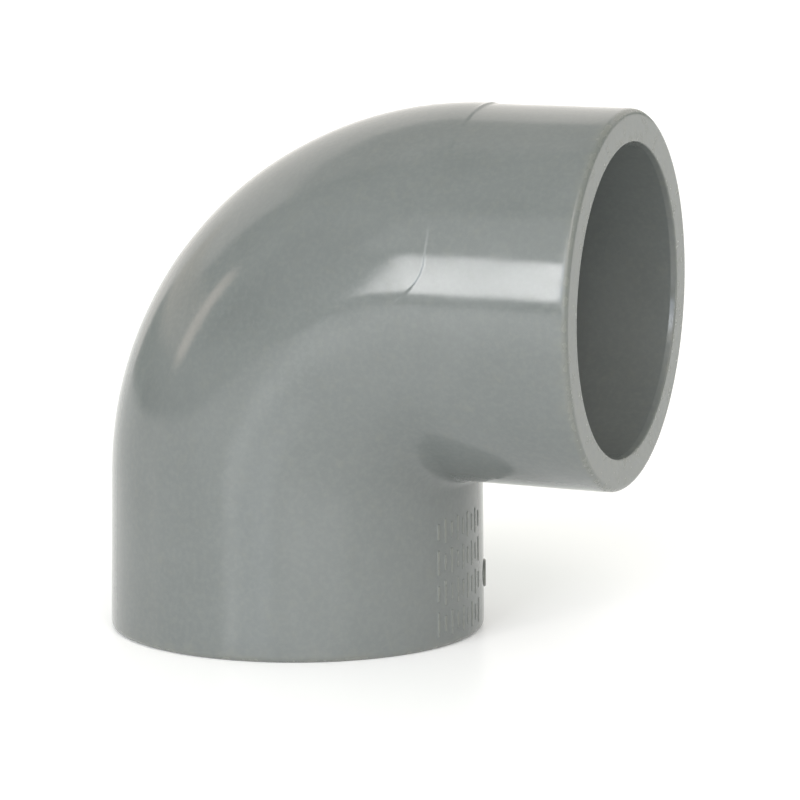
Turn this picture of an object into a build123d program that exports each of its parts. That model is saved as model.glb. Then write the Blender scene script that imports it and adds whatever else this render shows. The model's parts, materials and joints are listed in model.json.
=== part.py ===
from build123d import *
import os
from math import cos, radians, sin, tan

# A 90 degree socket elbow for 63 mm pipe: one grey moulding with a socket barrel at each end of a
# tight bend. The lower socket opens down and the upper socket opens along +X. The moulding is
# written as its named regions, which meet face to face and never move: the two barrels, the bend
# between them and the raised marks on the lower barrel.
#
# Frame, in millimetres: +Z up along the lower socket's axis, the origin at the centre of its mouth,
# and the elbow's plane of symmetry at Y = 0.

# Sockets
BORE_RADIUS = 31.6            # takes a pipe of 63 mm outside diameter with 0.1 mm all round
SOCKET_DEPTH = 38.0           # from the mouth to the ledge that stops the pipe
STOP_TO_CENTRE = 33.25        # from that ledge to where the two sockets' axes cross
MOUTH_RADIUS = 38.5           # outside radius of the barrel at its mouth
DRAFT = radians(0.6)          # the barrels narrow from the mouth towards the bend
MOUTH_OUTER_ROUND = 0.9       # rounding of the mouth's outer edge
MOUTH_INNER_ROUND = 0.35      # rounding of the mouth's inner edge

# Bend
BEND_RADIUS = 39.5            # centreline of the outside; the inside corner is left 1.3 mm round
PASSAGE_RADIUS = 28.5         # bore of the passage between the two pipe stops

# Mould line round the upper barrel, where it meets the bend
MOULD_LINE_FROM_MOUTH = 30.0
MOULD_LINE_HEIGHT = 0.2
MOULD_LINE_WIDTH = 0.9
NUB_HEIGHT = 0.5              # a speck of flash on the mould line at the very top
NUB_WIDTH = 1.2               # along the barrel
NUB_LENGTH = 14.0             # around the barrel
RIDGE_ROOT = 1.0              # how far the ridge's root is sunk in the barrel's wall

# Raised marks: rows of plain upright bars, and one round pad, facing the inside corner
BAR_HEIGHT = 0.25             # how far a bar stands off the barrel
BAR_WIDTH = 0.7
LONG_BAR = 5.2
SHORT_BAR = 3.4
BAR_ROWS = 4
BAR_ROW_PITCH = 6.35
BAR_FIRST_ROW = 5.0           # height of the lowest row's middle above the mouth
BAR_COLUMNS = 9
BAR_FIRST_ANGLE = -20.5       # degrees from +X, seen from above
BAR_COLUMN_STEP = 3.3         # degrees
PAD_HEIGHT = 0.45
PAD_RADIUS = 2.9
PAD_ANGLE = 20.5              # degrees from +X
PAD_FROM_MOUTH = 10.7
CUTTER_REACH = 4.0            # thickness of the shapes that cut the marks, through the whole skin

CENTRE_HEIGHT = SOCKET_DEPTH + STOP_TO_CENTRE
BARREL_LENGTH = CENTRE_HEIGHT - BEND_RADIUS


def outer_radius(from_mouth):
    """Outside radius of a barrel at a distance from its mouth."""
    return MOUTH_RADIUS - from_mouth * tan(DRAFT)


def as_upper(shape):
    """Carry a shape from the lower socket's place to the upper socket's."""
    return Pos(CENTRE_HEIGHT, 0, CENTRE_HEIGHT) * Rot(0, -90, 0) * shape


def turned(points):
    """A solid of revolution about Z from points (radius, height)."""
    outline = Polyline(*points, close=True)
    return revolve(make_face(Plane.XZ * outline), Axis.Z)


def barrel():
    """A socket barrel: its mouth on the XY plane, its inner end up."""
    wall = turned([
        (BORE_RADIUS, 0),
        (MOUTH_RADIUS, 0),
        (outer_radius(BARREL_LENGTH), BARREL_LENGTH),
        (BORE_RADIUS, BARREL_LENGTH),
    ])
    mouth_edges = wall.edges().filter_by(GeomType.CIRCLE).group_by(Axis.Z)[0].sort_by(SortBy.LENGTH)
    wall = fillet(mouth_edges[-1], MOUTH_OUTER_ROUND)
    mouth_edges = wall.edges().filter_by(GeomType.CIRCLE).group_by(Axis.Z)[0].sort_by(SortBy.LENGTH)
    return fillet(mouth_edges[0], MOUTH_INNER_ROUND)


def mould_line():
    """The low ridge round a barrel where two parts of the mould met, with its speck of flash."""
    root = outer_radius(MOULD_LINE_FROM_MOUTH) - RIDGE_ROOT
    lower_edge = MOULD_LINE_FROM_MOUTH - MOULD_LINE_WIDTH / 2
    upper_edge = MOULD_LINE_FROM_MOUTH + MOULD_LINE_WIDTH / 2
    ridge = turned([
        (root, lower_edge),
        (outer_radius(lower_edge), lower_edge),
        (outer_radius(MOULD_LINE_FROM_MOUTH) + MOULD_LINE_HEIGHT, MOULD_LINE_FROM_MOUTH),
        (outer_radius(upper_edge), upper_edge),
        (root, upper_edge),
    ])
    # The upper barrel's top faces +X before it is carried to its place.
    nub_top = outer_radius(MOULD_LINE_FROM_MOUTH) + NUB_HEIGHT
    disc = Cylinder(nub_top, NUB_WIDTH) - Cylinder(root, NUB_WIDTH)
    nub = disc & Pos(nub_top, 0, 0) * Box(CUTTER_REACH, NUB_LENGTH, NUB_WIDTH)
    return ridge + Pos(0, 0, MOULD_LINE_FROM_MOUTH) * nub


def lower_socket():
    return barrel()


def upper_socket():
    return as_upper(barrel() + mould_line())


def bend():
    """The bend with the last stretch of each bore, both pipe stops and the passage between them."""
    outside = revolve(
        Pos(0, 0, BARREL_LENGTH) * Circle(outer_radius(BARREL_LENGTH)),
        Axis((BEND_RADIUS, 0, BARREL_LENGTH), (0, 1, 0)),
        90,
    )
    passage = revolve(
        Pos(0, 0, SOCKET_DEPTH) * Circle(PASSAGE_RADIUS),
        Axis((STOP_TO_CENTRE, 0, SOCKET_DEPTH), (0, 1, 0)),
        90,
    )
    bore = Cylinder(BORE_RADIUS, SOCKET_DEPTH, align=(Align.CENTER, Align.CENTER, Align.MIN))
    return outside - bore - as_upper(bore) - passage


def skin(height):
    """A thin skin of that height on the lower barrel, which the raised marks are cut from."""
    return turned([
        (outer_radius(0), 0),
        (outer_radius(0) + height, 0),
        (outer_radius(BARREL_LENGTH) + height, BARREL_LENGTH),
        (outer_radius(BARREL_LENGTH), BARREL_LENGTH),
    ])


def on_barrel(angle, height, shape):
    """Place a shape on the lower barrel's outside, its X pointing outwards."""
    turn = radians(angle)
    place = Pos(MOUTH_RADIUS * cos(turn), MOUTH_RADIUS * sin(turn), height)
    return place * Rot(0, 0, angle) * shape


def raised_marks():
    """Upright bars, long and short by turns, and one round pad, each a solid of its own."""
    bar_skin = skin(BAR_HEIGHT)
    marks = []
    for row in range(BAR_ROWS):
        height = BAR_FIRST_ROW + row * BAR_ROW_PITCH
        for column in range(BAR_COLUMNS):
            angle = BAR_FIRST_ANGLE + column * BAR_COLUMN_STEP
            length = LONG_BAR if (row + column) % 2 == 0 else SHORT_BAR
            bar = bar_skin & on_barrel(angle, height, Box(CUTTER_REACH, BAR_WIDTH, length))
            marks += bar.solids()
    disc = Rot(0, 90, 0) * Cylinder(PAD_RADIUS, CUTTER_REACH)
    pad = skin(PAD_HEIGHT) & on_barrel(PAD_ANGLE, PAD_FROM_MOUTH, disc)
    return Compound(children=marks + pad.solids())


NODES = {
    "lower_socket": lower_socket,
    "bend": bend,
    "upper_socket": upper_socket,
    "raised_marks": raised_marks,
}

os.makedirs("parts", exist_ok=True)
for name, make in NODES.items():
    export_step(make(), f"parts/{name}.step")
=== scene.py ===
"""The looks of a grey PVC socket elbow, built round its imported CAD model.

The real elbow is one moulding, so one closed mesh stands for the CAD nodes of its two barrels and
its bend, and a second one for its raised marks. Everything is in metres, in the row's frame: the
lower socket opens down at the origin and the upper socket opens along +X.
"""
import json
from math import cos, degrees, exp, hypot, pi, radians, sin, tan

import bmesh
import bpy
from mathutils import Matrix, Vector


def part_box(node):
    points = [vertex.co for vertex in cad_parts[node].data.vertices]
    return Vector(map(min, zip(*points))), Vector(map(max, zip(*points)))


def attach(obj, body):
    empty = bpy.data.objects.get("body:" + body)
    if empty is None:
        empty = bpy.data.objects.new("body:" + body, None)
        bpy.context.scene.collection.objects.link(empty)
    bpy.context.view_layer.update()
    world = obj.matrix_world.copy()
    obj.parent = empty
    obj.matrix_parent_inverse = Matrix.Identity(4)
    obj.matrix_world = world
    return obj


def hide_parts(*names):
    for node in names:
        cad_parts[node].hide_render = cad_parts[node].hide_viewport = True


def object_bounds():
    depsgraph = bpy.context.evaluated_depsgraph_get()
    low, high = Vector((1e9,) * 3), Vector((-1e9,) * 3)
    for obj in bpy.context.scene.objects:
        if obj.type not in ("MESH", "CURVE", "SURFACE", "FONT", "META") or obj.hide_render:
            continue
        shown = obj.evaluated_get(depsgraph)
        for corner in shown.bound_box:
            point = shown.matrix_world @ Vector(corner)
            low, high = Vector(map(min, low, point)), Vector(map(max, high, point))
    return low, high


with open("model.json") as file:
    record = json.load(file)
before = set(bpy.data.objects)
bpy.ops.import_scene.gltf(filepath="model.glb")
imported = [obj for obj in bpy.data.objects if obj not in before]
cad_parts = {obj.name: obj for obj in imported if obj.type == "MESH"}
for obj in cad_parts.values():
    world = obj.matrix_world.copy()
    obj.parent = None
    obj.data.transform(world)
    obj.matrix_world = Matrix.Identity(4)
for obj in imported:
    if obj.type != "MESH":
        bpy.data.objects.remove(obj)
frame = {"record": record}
cad_low, cad_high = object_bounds()

MM = 0.001

# ------------------------------------------------------------------ sizes of the moulding
MOUNTS = {mount["name"]: mount for mount in frame["record"]["mounts"]}
BORE = MOUNTS["upper_socket"]["dims"]["r_mm"] * MM
SOCKET_DEPTH = MOUNTS["upper_socket"]["dims"]["length_mm"] * MM
CENTRE = MOUNTS["upper_socket"]["pos_m"][2]      # height of the upper socket's axis
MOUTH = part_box("lower_socket")[1].y              # outside radius at the mouths
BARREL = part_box("lower_socket")[1].z             # straight length of each barrel
BEND = CENTRE - BARREL                           # centreline radius of the outside of the bend
STOP = CENTRE - SOCKET_DEPTH                     # from a pipe stop to where the axes cross
DRAFT = radians(0.6)                             # the barrels narrow towards the bend
PASSAGE = 28.5 * MM                              # bore between the pipe stops
OUTER_ROUND = 1.3 * MM                           # rounding of the mouths' outer edges
SHOULDER = 0.06 * MM                             # the barrels turn in this much just before it
SHOULDER_LENGTH = 2.0 * MM
LEAD_IN = 1.3 * MM                               # the bores flare a little over this length
LEAD_IN_TAPER = radians(10.5)
INNER_ROUND = 0.3 * MM                           # rounding between that flare and the flat mouth
LEDGE_ROUND = 0.4 * MM                           # rounding of the pipe stops

# Mould line round the upper barrel. Along the elbow, places are measured from the plane where the
# bend ends and the upper barrel begins, towards the upper mouth.
LINE = 1.75 * MM                                 # the mould line, over the top of the barrel
LINE_TURNS = 18.0                                # degrees above the barrel's side where it turns
LINE_ENDS = 3.5                                  # degrees above the side where it fades out
LINE_SWEEP = 6.8 * MM                            # how far it has run back into the bend by then
LINE_CURVE = 2.2
LINE_FADE = 6.0                                  # degrees over which it fades out
LINE_PULL_BACK = 30 * MM                         # how far the mesh's rings follow its curve, behind
LINE_PULL_AHEAD = 14 * MM                        # and ahead of it
STEP_AT_SIDE = 0.05 * MM                         # the bend stands this much prouder at the line
STEP_AT_TOP = 0.2 * MM
STEP_GROWS_FROM = 50.0                           # degrees above the side where the step starts to grow
STEP_GROWS_OVER = 35.0
STEP_FLANK = 0.9 * MM                            # length over which the step drops
STEP_RISE = 22 * MM                              # and over which the bend has grown to it
GROOVE = 0.006 * MM                              # a fine groove along the line's lower stretch
GROOVE_WIDTH = 0.2 * MM
GROOVE_STARTS = 24.0                             # degrees above the side
GROOVE_FADE = 5.0
NUB = 0.2 * MM                                   # a speck of flash on the line at the very top
NUB_WIDTH = 0.45 * MM
NUB_REACH = 9.0                                  # degrees each way round the barrel
WAVE = 0.012 * MM                                # gentle unevenness of the moulded skin
WAVE_FADE = 6 * MM                               # which dies out towards the mouths

# Rubbed places: how far from the mouths' edges the rubbing reaches, and how strong it is, from 0 to 1
OUTER_RUB = 0.9 * MM
INNER_RUB = 0.8 * MM
INNER_MOST = 0.5                                 # the inner edges are rubbed less than the outer ones
FACE_RUB = 0.35                                  # the mouths' flat faces
MARK_RUB = 0.6                                   # the tops of the raised marks

# Raised marks on the lower barrel
BAR_HEIGHT = 0.15 * MM
BAR_ROWS = 4
BAR_ROW_PITCH = 6.35 * MM
BAR_FIRST_ROW = 5.0 * MM
BAR_COLUMNS = 9
BAR_FIRST_ANGLE = -20.5                          # degrees from +X, seen from above
BAR_COLUMN_STEP = 3.3
BAR_WIDTH = 0.7 * MM
LONG_BAR = 5.2 * MM
SHORT_BAR = 3.4 * MM
PAD_HEIGHT = 0.42 * MM
PAD_ANGLE = 20.5
PAD_RADIUS = 2.9 * MM
PAD_FROM_MOUTH = 10.7 * MM

# ------------------------------------------------------------------ how finely the meshes are cut
AROUND = 240
BEND_CUTS = 84
PASSAGE_CUTS = 40
PASSAGE_START = radians(0.4)                     # turn between a pipe stop's rounding and the first ring
BARREL_STEP = 1.6 * MM
SUPPORT = 0.15 * MM                              # a loop this close keeps shading crisp at an edge
LINE_CUTS = [0.0, 0.08, 0.17, 0.26, 0.38, 0.52, 0.8, 1.3, 2.2]    # mm each way from the mould line


def smooth(x):
    """0 below 0, 1 above 1, and a smooth rise between."""
    x = min(1.0, max(0.0, x))
    return x * x * (3 - 2 * x)


def barrel_radius(from_mouth):
    return MOUTH - from_mouth * tan(DRAFT)


TUBE = barrel_radius(BARREL)
FLARE_START = INNER_ROUND * (1 - sin(LEAD_IN_TAPER))
FLARED = BORE + (LEAD_IN - FLARE_START) * tan(LEAD_IN_TAPER)
LIP = FLARED + INNER_ROUND * cos(LEAD_IN_TAPER)  # inner radius of a mouth's flat face
BEND_LENGTH = BEND * pi / 2


def section(along):
    """(centre, direction of the elbow's outer side, outside radius) at a place along the elbow."""
    if along >= 0:
        return Vector((BEND + along, 0, CENTRE)), Vector((0, 0, 1)), barrel_radius(BARREL - along)
    if along > -BEND_LENGTH:
        turn = pi / 2 - along / BEND
        out = Vector((cos(turn), 0, sin(turn)))
        return Vector((BEND, 0, BARREL)) + BEND * out, out, TUBE
    height = BARREL + along + BEND_LENGTH
    return Vector((0, 0, height)), Vector((-1, 0, 0)), barrel_radius(height)


def above_side(phi):
    """Degrees above the tube's side; phi is 0 at the elbow's outer side."""
    return 90 - abs(degrees(phi))


def line_shift(phi):
    """How far the mould line has run back from its place over the top."""
    turned = (LINE_TURNS - above_side(phi)) / (LINE_TURNS - LINE_ENDS)
    return -LINE_SWEEP * min(1.0, max(0.0, turned)) ** LINE_CURVE


def relief(along, phi):
    """How far the outside stands off its plain tube: the mould line's step and groove, and its nub."""
    past = along - LINE - line_shift(phi)
    up = above_side(phi)
    shown = smooth((up - LINE_ENDS) / LINE_FADE)
    grown = smooth((up - STEP_GROWS_FROM) / STEP_GROWS_OVER)
    step = STEP_AT_SIDE + (STEP_AT_TOP - STEP_AT_SIDE) * grown
    step *= smooth(1 + past / STEP_RISE) * smooth(0.5 - past / STEP_FLANK)
    groove = GROOVE * exp(-((past / GROOVE_WIDTH) ** 2)) * smooth((GROOVE_STARTS - up) / GROOVE_FADE)
    nub = NUB * exp(-((past / NUB_WIDTH) ** 2)) * exp(-((degrees(phi) / NUB_REACH) ** 4))
    return shown * (step - groove) + nub


def wave(point):
    """Gentle unevenness, from a few long sine waves."""
    x, y, z = point / MM
    return WAVE * (
        sin(0.21 * x + 0.13 * z + 0.7) * sin(0.17 * y - 0.9)
        + 0.6 * sin(0.39 * x - 0.33 * z + 2.1) * sin(0.29 * y + 0.12 * z)
        + 0.4 * sin(0.11 * x + 0.47 * y + 0.31 * z + 4.0)
    )


def ring(centre, out, radius):
    """One closed ring of points round a centre. The first point is on the elbow's outer side."""
    across = Vector((0, 1, 0))
    return [
        centre + radius * (cos(phi) * out + sin(phi) * across)
        for phi in (2 * pi * i / AROUND for i in range(AROUND))
    ]


def outside_places():
    """Places along the elbow for the rings of its outside, from the lower mouth to the upper."""
    barrel_cuts = int((BARREL - OUTER_ROUND) / BARREL_STEP)
    lower = [-BEND_LENGTH - BARREL + OUTER_ROUND + (BARREL - OUTER_ROUND) * i / barrel_cuts
             for i in range(barrel_cuts)]
    bend = [-BEND_LENGTH * (1 - i / BEND_CUTS) for i in range(BEND_CUTS)]
    upper = [(BARREL - OUTER_ROUND) * i / barrel_cuts for i in range(barrel_cuts + 1)]
    near_line = [LINE + cut * MM for cut in [-cut for cut in LINE_CUTS[:0:-1]] + LINE_CUTS]
    clear = [s for s in lower + bend + upper if not near_line[0] - SUPPORT < s < near_line[-1] + SUPPORT]
    first, last = clear[0], clear[-1]
    return sorted(clear + near_line + [first + SUPPORT, last - SUPPORT])


def outside_ring(along):
    """A ring of the outside. Near the mould line the rings follow its curve."""
    distance = along - LINE
    reach = LINE_PULL_BACK if distance < 0 else LINE_PULL_AHEAD
    pull = smooth(1 - abs(distance) / reach)
    ends = min(along + BEND_LENGTH + BARREL, BARREL - along) - OUTER_ROUND
    points = []
    for i in range(AROUND):
        phi = 2 * pi * i / AROUND
        if phi > pi:
            phi -= 2 * pi
        here = along + pull * line_shift(phi)
        centre, out, radius = section(here)
        direction = cos(phi) * out + sin(phi) * Vector((0, 1, 0))
        skin = centre + radius * direction
        shoulder = SHOULDER * max(0.0, 1 - ends / SHOULDER_LENGTH) ** 2
        lift = relief(here, phi) + wave(skin) * smooth(ends / WAVE_FADE) - shoulder
        points.append(skin + lift * direction)
    return points


def quarter(cuts):
    """Angles over a quarter turn, both ends included."""
    return [pi / 2 * i / cuts for i in range(cuts + 1)]


def socket_profile():
    """(distance from the mouth, radius) round a mouth, down its bore and over its pipe stop."""
    rim = barrel_radius(OUTER_ROUND) - SHOULDER - OUTER_ROUND
    profile = [(OUTER_ROUND * (1 - sin(a)), rim + OUTER_ROUND * cos(a)) for a in quarter(8)[1:]]
    profile += [(0, rim - SUPPORT), (0, (2 * rim + LIP) / 3), (0, (rim + 2 * LIP) / 3), (0, LIP + SUPPORT)]
    # The inner edge's rounding stops where it runs into the flare.
    turns = [a * (1 - 2 * LEAD_IN_TAPER / pi) for a in quarter(6)]
    profile += [(INNER_ROUND * (1 - cos(a)), LIP - INNER_ROUND * sin(a)) for a in turns]
    profile += [(FLARE_START + SUPPORT, FLARED - SUPPORT * tan(LEAD_IN_TAPER))]
    profile += [(LEAD_IN - SUPPORT, BORE + SUPPORT * tan(LEAD_IN_TAPER)), (LEAD_IN, BORE)]
    profile += [(LEAD_IN + SUPPORT, BORE)]
    bore_end = SOCKET_DEPTH - LEDGE_ROUND
    profile += [(LEAD_IN + (bore_end - LEAD_IN) * i / 8, BORE) for i in range(1, 8)]
    profile += [(bore_end - SUPPORT, BORE)]
    profile += [(bore_end + LEDGE_ROUND * sin(a), BORE - LEDGE_ROUND * (1 - cos(a))) for a in quarter(4)]
    edge = PASSAGE + LEDGE_ROUND
    profile += [(SOCKET_DEPTH, BORE - LEDGE_ROUND - SUPPORT), (SOCKET_DEPTH, edge + SUPPORT)]
    profile += [(SOCKET_DEPTH + LEDGE_ROUND * (1 - cos(a)), edge - LEDGE_ROUND * sin(a)) for a in quarter(4)]
    return profile


def passage_rings():
    """Rings of the passage, from the upper pipe stop to the lower one."""
    start = LEDGE_ROUND / STOP + PASSAGE_START
    rings = []
    for i in range(PASSAGE_CUTS + 1):
        turn = pi / 2 + start + (pi / 2 - 2 * start) * i / PASSAGE_CUTS
        out = Vector((cos(turn), 0, sin(turn)))
        rings.append(ring(Vector((STOP, 0, SOCKET_DEPTH)) + STOP * out, out, PASSAGE))
    return rings


def edge_rub(point):
    """How rubbed the moulding is at a point, from 0 to 1: most along the edges of its two mouths."""
    x, y, z = point
    most = 0.0
    for from_mouth, radius in ((z, hypot(x, y)), (CENTRE - x, hypot(y, z - CENTRE))):
        outer = hypot(from_mouth, MOUTH - radius)
        inner = hypot(from_mouth, radius - LIP)
        face = FACE_RUB if from_mouth < SUPPORT and radius < MOUTH else 0.0
        most = max(most, exp(-outer / OUTER_RUB), INNER_MOST * exp(-inner / INNER_RUB), face)
    return most


def mark_rub(point):
    """How rubbed a raised mark is at a point: most on its top."""
    return MARK_RUB * smooth((hypot(point.x, point.y) - barrel_radius(point.z)) / BAR_HEIGHT)


def finish_mesh(name, mesh_data, rub, material, nodes):
    """Make a smooth object from a bmesh, hang it on the root body and hide the CAD nodes it stands for."""
    bmesh.ops.recalc_face_normals(mesh_data, faces=mesh_data.faces)
    mesh = bpy.data.meshes.new(name)
    mesh_data.to_mesh(mesh)
    mesh_data.free()
    mesh.polygons.foreach_set("use_smooth", [True] * len(mesh.polygons))
    rubbed = mesh.attributes.new("rubbed", "FLOAT", "POINT")
    rubbed.data.foreach_set("value", [rub(vert.co) for vert in mesh.vertices])
    mesh.materials.append(material)
    piece = bpy.data.objects.new(name, mesh)
    bpy.context.scene.collection.objects.link(piece)
    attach(piece, "root")
    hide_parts(*nodes)
    return piece


def make_elbow(material):
    """The whole moulding as one closed skin: outside, mouths, bores, pipe stops and passage."""
    profile = socket_profile()
    rings = [outside_ring(along) for along in outside_places()]
    rings += [ring(Vector((CENTRE - d, 0, CENTRE)), Vector((0, 0, 1)), r) for d, r in profile]
    rings += passage_rings()
    rings += [ring(Vector((0, 0, d)), Vector((-1, 0, 0)), r) for d, r in reversed(profile)]
    skin = bmesh.new()
    loops = [[skin.verts.new(point) for point in points] for points in rings]
    for loop, following in zip(loops, loops[1:] + loops[:1]):
        for i in range(AROUND):
            j = (i + 1) % AROUND
            skin.faces.new((loop[i], loop[j], following[j], following[i]))
    nodes = ("lower_socket", "bend", "upper_socket")
    return finish_mesh("moulded_elbow", skin, edge_rub, material, nodes)


# Cross-section of a raised mark: (how far in from its outline, height as a share of the full height)
MARK_SECTION = [(-0.06, -0.5), (-0.06, -0.05), (0.02, 0.30), (0.09, 0.65), (0.17, 0.90), (0.27, 1.0)]
MARK_CUTS = 24


def add_mark(skin, angle, height, straight, radius, full):
    """One raised mark of height full: a rounded bar with straight sides, or a disc where they are 0."""
    def place(a, b, share):
        """A point at arc length a round the barrel and height b from the mark's middle."""
        turn = radians(angle) + a / MOUTH
        reach = barrel_radius(height + b) + share * full
        return Vector((reach * cos(turn), reach * sin(turn), height + b))

    loops = []
    for inset, share in MARK_SECTION:
        loop = []
        for i in range(MARK_CUTS):
            turn = 2 * pi * (i + 0.5) / MARK_CUTS
            end = straight / 2 if sin(turn) > 0 else -straight / 2
            reach = radius - inset * MM
            loop.append(skin.verts.new(place(reach * cos(turn), end + reach * sin(turn), share)))
        loops.append(loop)
    for loop, following in zip(loops, loops[1:]):
        for i in range(MARK_CUTS):
            j = (i + 1) % MARK_CUTS
            skin.faces.new((loop[i], loop[j], following[j], following[i]))
    half = MARK_CUTS // 2
    for loop, share in ((loops[0], MARK_SECTION[0][1]), (loops[-1], MARK_SECTION[-1][1])):
        # A spine of two points closes the end, one for each half of the loop.
        upper = skin.verts.new(place(0, straight / 2, share))
        lower = skin.verts.new(place(0, -straight / 2, share)) if straight else upper
        for i in range(MARK_CUTS):
            j = (i + 1) % MARK_CUTS
            hub = upper if i < half else lower
            if i in (half - 1, MARK_CUTS - 1) and straight:
                other = lower if hub is upper else upper
                skin.faces.new((loop[i], loop[j], other, hub))
            else:
                skin.faces.new((loop[i], loop[j], hub))


def make_marks(material):
    """Rows of upright bars, long and short by turns, and one round pad."""
    skin = bmesh.new()
    for row in range(BAR_ROWS):
        for column in range(BAR_COLUMNS):
            length = LONG_BAR if (row + column) % 2 == 0 else SHORT_BAR
            angle = BAR_FIRST_ANGLE + column * BAR_COLUMN_STEP
            height = BAR_FIRST_ROW + row * BAR_ROW_PITCH
            add_mark(skin, angle, height, length - BAR_WIDTH, BAR_WIDTH / 2, BAR_HEIGHT)
    add_mark(skin, PAD_ANGLE, PAD_FROM_MOUTH, 0, PAD_RADIUS, PAD_HEIGHT)
    return finish_mesh("moulded_marks", skin, mark_rub, material, ("raised_marks",))


# ------------------------------------------------------------------ materials
class Shader:
    """A node tree with short ways to add and join nodes."""

    def __init__(self, tree):
        self.tree = tree

    def node(self, kind, inputs=None, **settings):
        made = self.tree.nodes.new("ShaderNode" + kind)
        for name, value in settings.items():
            setattr(made, name, value)
        for key, value in (inputs or {}).items():
            if isinstance(value, bpy.types.NodeSocket):
                self.tree.links.new(value, made.inputs[key])
            else:
                made.inputs[key].default_value = value
        return made

    def maths(self, operation, a, b=0.0):
        return self.node("Math", {0: a, 1: b}, operation=operation).outputs[0]

    def noise(self, place, scale, detail=2.0, roughness=0.5):
        inputs = {"Vector": place, "Scale": scale, "Detail": detail, "Roughness": roughness}
        return self.node("TexNoise", inputs).outputs["Fac"]

    def remap(self, value, low, high, to_low, to_high):
        inputs = {"Value": value, "From Min": low, "From Max": high, "To Min": to_low, "To Max": to_high}
        return self.node("MapRange", inputs, interpolation_type="SMOOTHSTEP").outputs["Result"]

    def blend(self, share, a, b):
        return self.node("Mix", {"Factor": share, "A": a, "B": b}, data_type="RGBA").outputs["Result"]


# Noise scales of the plastic, in features per metre
FLOW_CLOUDS = 38.0
GLOSS_CLOUDS = 70.0
ORANGE_PEEL = 420.0
WEAR_PATCHES = 420.0
SPECKLE = 900.0
SCUFFS = 1500.0
FINE_SPECKLE = 2600.0

# Heights of its orange peel and of its scuffs
PEEL_DEPTH = 0.06 * MM
SCUFF_DEPTH = 0.05 * MM

# Its base colours, as linear red, green, blue and alpha
GREY = (0.152, 0.164, 0.160, 1)
DEEP_GREY = (0.138, 0.150, 0.146, 1)
PALE_GREY = (0.192, 0.204, 0.197, 1)
WORN_GREY = (0.180, 0.186, 0.165, 1)


def empty_material(name):
    material = bpy.data.materials.new(name)
    material.use_nodes = True
    material.node_tree.nodes.clear()
    return material, Shader(material.node_tree)


def pvc(name):
    """Semi-gloss moulded grey PVC: faint flow clouds, fine speckle, uneven gloss and rubbed edges."""
    material, s = empty_material(name)
    place = s.node("TexCoord").outputs["Object"]
    rubbed = s.node("Attribute", attribute_name="rubbed").outputs["Fac"]
    patchy = s.maths("ADD", rubbed, s.noise(place, WEAR_PATCHES, 2.0, 0.5))
    wear = s.remap(patchy, 0.45, 1.45, 0.0, 1.0)
    clouds = s.noise(place, FLOW_CLOUDS, 3.0, 0.55)
    speckle = s.noise(place, SPECKLE, 2.0, 0.6)
    fine = s.noise(place, FINE_SPECKLE, 1.0)
    colour = s.blend(s.remap(clouds, 0.3, 0.7, 0.0, 1.0), DEEP_GREY, GREY)
    colour = s.blend(s.remap(speckle, 0.35, 0.75, 0.0, 0.25), colour, PALE_GREY)
    colour = s.blend(s.remap(fine, 0.4, 0.8, 0.0, 0.12), colour, DEEP_GREY)
    colour = s.blend(wear, colour, WORN_GREY)
    gloss = s.remap(s.noise(place, GLOSS_CLOUDS, 3.0, 0.6), 0.3, 0.7, 0.10, 0.13)
    gloss = s.maths("ADD", gloss, s.remap(speckle, 0.4, 0.8, 0.0, 0.03))
    gloss = s.maths("ADD", gloss, s.maths("MULTIPLY", wear, 0.25))
    peel = s.node("Bump", {
        "Strength": 0.15,
        "Distance": PEEL_DEPTH,
        "Height": s.noise(place, ORANGE_PEEL, 2.0, 0.5),
    })
    scuffs = s.node("Bump", {
        "Strength": s.maths("MULTIPLY", wear, 0.15),
        "Distance": SCUFF_DEPTH,
        "Height": s.noise(place, SCUFFS, 3.0, 0.6),
        "Normal": peel.outputs["Normal"],
    })
    shader = s.node("BsdfPrincipled", {
        "Base Color": colour,
        "Roughness": gloss,
        "IOR": 1.5,
        "Normal": scuffs.outputs["Normal"],
    })
    s.node("OutputMaterial", {"Surface": shader.outputs["BSDF"]})
    return material


def floor_material():
    """Satin white acrylic with a faint cloudiness, lit a little from below."""
    material, s = empty_material("pale_acrylic")
    place = s.node("TexCoord").outputs["Object"]
    share = s.remap(s.noise(place, 6.0, 3.0), 0.3, 0.7, 0.0, 1.0)
    colour = s.blend(share, (0.91, 0.91, 0.91, 1), (0.93, 0.93, 0.93, 1))
    shader = s.node("BsdfPrincipled", {
        "Base Color": colour,
        "Roughness": 0.85,
        "Specular IOR Level": 0.1,
        "Coat Weight": 0.34,
        "Coat Roughness": 0.25,
        "Emission Color": (1.0, 1.0, 1.02, 1),
        "Emission Strength": 0.2,
    })
    s.node("OutputMaterial", {"Surface": shader.outputs["BSDF"]})
    return material


# ------------------------------------------------------------------ floor, light and camera
FLOOR_RADIUS = 5.0


def make_floor():
    """A flat round sheet of white acrylic that the elbow stands on."""
    sheet = bmesh.new()
    bmesh.ops.create_circle(sheet, cap_ends=True, radius=FLOOR_RADIUS, segments=96)
    mesh = bpy.data.meshes.new("floor")
    sheet.to_mesh(mesh)
    sheet.free()
    mesh.materials.append(floor_material())
    floor = bpy.data.objects.new("floor", mesh)
    bpy.context.scene.collection.objects.link(floor)


def direction(azimuth, elevation):
    """A unit vector; azimuth is in degrees from +X towards +Y."""
    a, e = radians(azimuth), radians(elevation)
    return Vector((cos(a) * cos(e), sin(a) * cos(e), sin(e)))


ROOM_LIGHT = 0.44
ROOM_TINT = (0.91, 1.0, 0.93)
NEUTRAL = (1.0, 1.0, 1.0)
COOL = (0.92, 1.0, 1.16)
WARM = (1.1, 1.0, 0.96)
SUNNY = (1.2, 1.0, 0.86)

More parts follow.
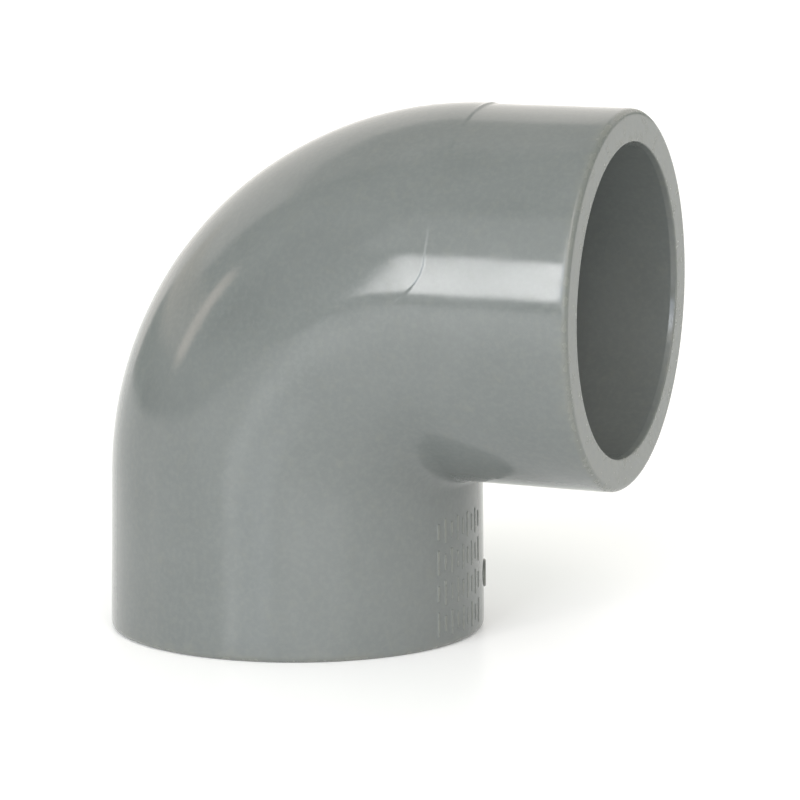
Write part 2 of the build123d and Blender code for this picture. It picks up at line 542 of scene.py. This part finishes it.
# Soft-edged cards of light round the elbow: azimuths from and to, elevations from and to, and
# softness, all in degrees, then how much brighter than the room each is, and its tint
CARDS = [
    # the key softbox: its dim left edge, its bright middle and its cooler right side
    (-115.7, -112.3, 6, 27, 1.5, 7.8, NEUTRAL),
    (-112.3, -105, 6, 27, 1.5, 11.0, NEUTRAL),
    (-105, -83, 6, 27, 1.5, 4.4, COOL),
    # a small bright card beside it, a glow over it and a brighter patch in that glow
    (-93, -86, 17, 36, 3, 7.0, NEUTRAL),
    (-126, -83, 29, 52, 8, 0.75, NEUTRAL),
    (-107, -98, 27, 45, 4, 3.0, NEUTRAL),
    # fill from the right and from overhead
    (-76, -38, -5, 22, 6, 2.9, NEUTRAL),
    (-76, -38, 22, 65, 6, 3.0, WARM),
    (-190, 190, 60, 95, 8, 0.22, NEUTRAL),
    # pale wall behind
    (100, 145, -5, 7, 4, 0.82, WARM),
    (60, 145, 7, 20, 5, 0.8, WARM),
    (60, 170, 20, 40, 6, 0.89, WARM),
    (60, 170, 40, 65, 8, 0.34, WARM),
    (145, 190, 9, 20, 4, 0.57, SUNNY),
    # a narrow strip of light on the left, with dark screens beside and under it
    (-171, -164.3, 8, 25, 3, 2.3, SUNNY),
    (-155, -125, 10, 40, 6, -0.3, ROOM_TINT),
    (168, 225, -5, 4, 3, -0.27, ROOM_TINT),
]


def make_room():
    """A pale room with the cards in it. The world's shader adds them up."""
    world = bpy.data.worlds.new("room")
    bpy.context.scene.world = world
    world.use_nodes = True
    world.node_tree.nodes.clear()
    s = Shader(world.node_tree)
    way = s.node("TexCoord").outputs["Generated"]
    elevation = s.maths("ARCSINE", s.node("SeparateXYZ", {"Vector": way}).outputs["Z"])
    light = [ROOM_LIGHT * share for share in ROOM_TINT]
    for left, right, bottom, top, softness, brightness, tint in CARDS:
        middle = radians((left + right) / 2)
        turned = s.node("VectorRotate", {"Vector": way, "Angle": -middle}, rotation_type="Z_AXIS")
        parts = s.node("SeparateXYZ", {"Vector": turned.outputs["Vector"]}).outputs
        sideways = s.maths("ABSOLUTE", s.maths("ARCTAN2", parts["Y"], parts["X"]))
        upwards = s.maths("ABSOLUTE", s.maths("SUBTRACT", elevation, radians((bottom + top) / 2)))
        share = 1.0
        for distance, reach in ((sideways, (right - left) / 2), (upwards, (top - bottom) / 2)):
            inner, outer = radians(reach - softness / 2), radians(reach + softness / 2)
            share = s.maths("MULTIPLY", s.remap(distance, inner, outer, 1.0, 0.0), share)
        colour = [brightness * part for part in tint]
        card = s.node("VectorMath", {0: colour, "Scale": share}, operation="SCALE").outputs["Vector"]
        light = s.node("VectorMath", {0: card, 1: light}, operation="ADD").outputs["Vector"]
    background = s.node("Background", {"Color": light})
    s.node("OutputWorld", {"Surface": background.outputs["Background"]})


CAMERA_AZIMUTH = -69.34                          # of the camera as seen from the elbow
CAMERA_ELEVATION = 9.82
CAMERA_DISTANCE = 1.0693
CAMERA_LENS = 236.2                              # millimetres, on a sensor this wide:
SENSOR_WIDTH = 36
CLIP_NEAR = 0.05
CLIP_FAR = 20
AIM_RIGHT = 6.14 * MM                            # the camera looks this far past the elbow's middle
AIM_DOWN = 6.8 * MM


def make_camera():
    """A long lens, looking a little to the right of and below the middle of the elbow."""
    target = (cad_low + cad_high) / 2 + Vector((AIM_RIGHT, 0, -AIM_DOWN))
    data = bpy.data.cameras.new("camera")
    data.lens = CAMERA_LENS
    data.sensor_width = SENSOR_WIDTH
    data.clip_start = CLIP_NEAR
    data.clip_end = CLIP_FAR
    camera = bpy.data.objects.new("camera", data)
    bpy.context.scene.collection.objects.link(camera)
    back = direction(CAMERA_AZIMUTH, CAMERA_ELEVATION)
    camera.location = target + back * CAMERA_DISTANCE
    camera.rotation_mode = "QUATERNION"
    camera.rotation_quaternion = (-back).to_track_quat("-Z", "Y")
    bpy.context.scene.camera = camera


make_elbow(pvc("grey_pvc"))
make_marks(pvc("grey_pvc_marks"))
make_floor()
make_room()
make_camera()
bpy.context.scene.view_settings.view_transform = "Standard"
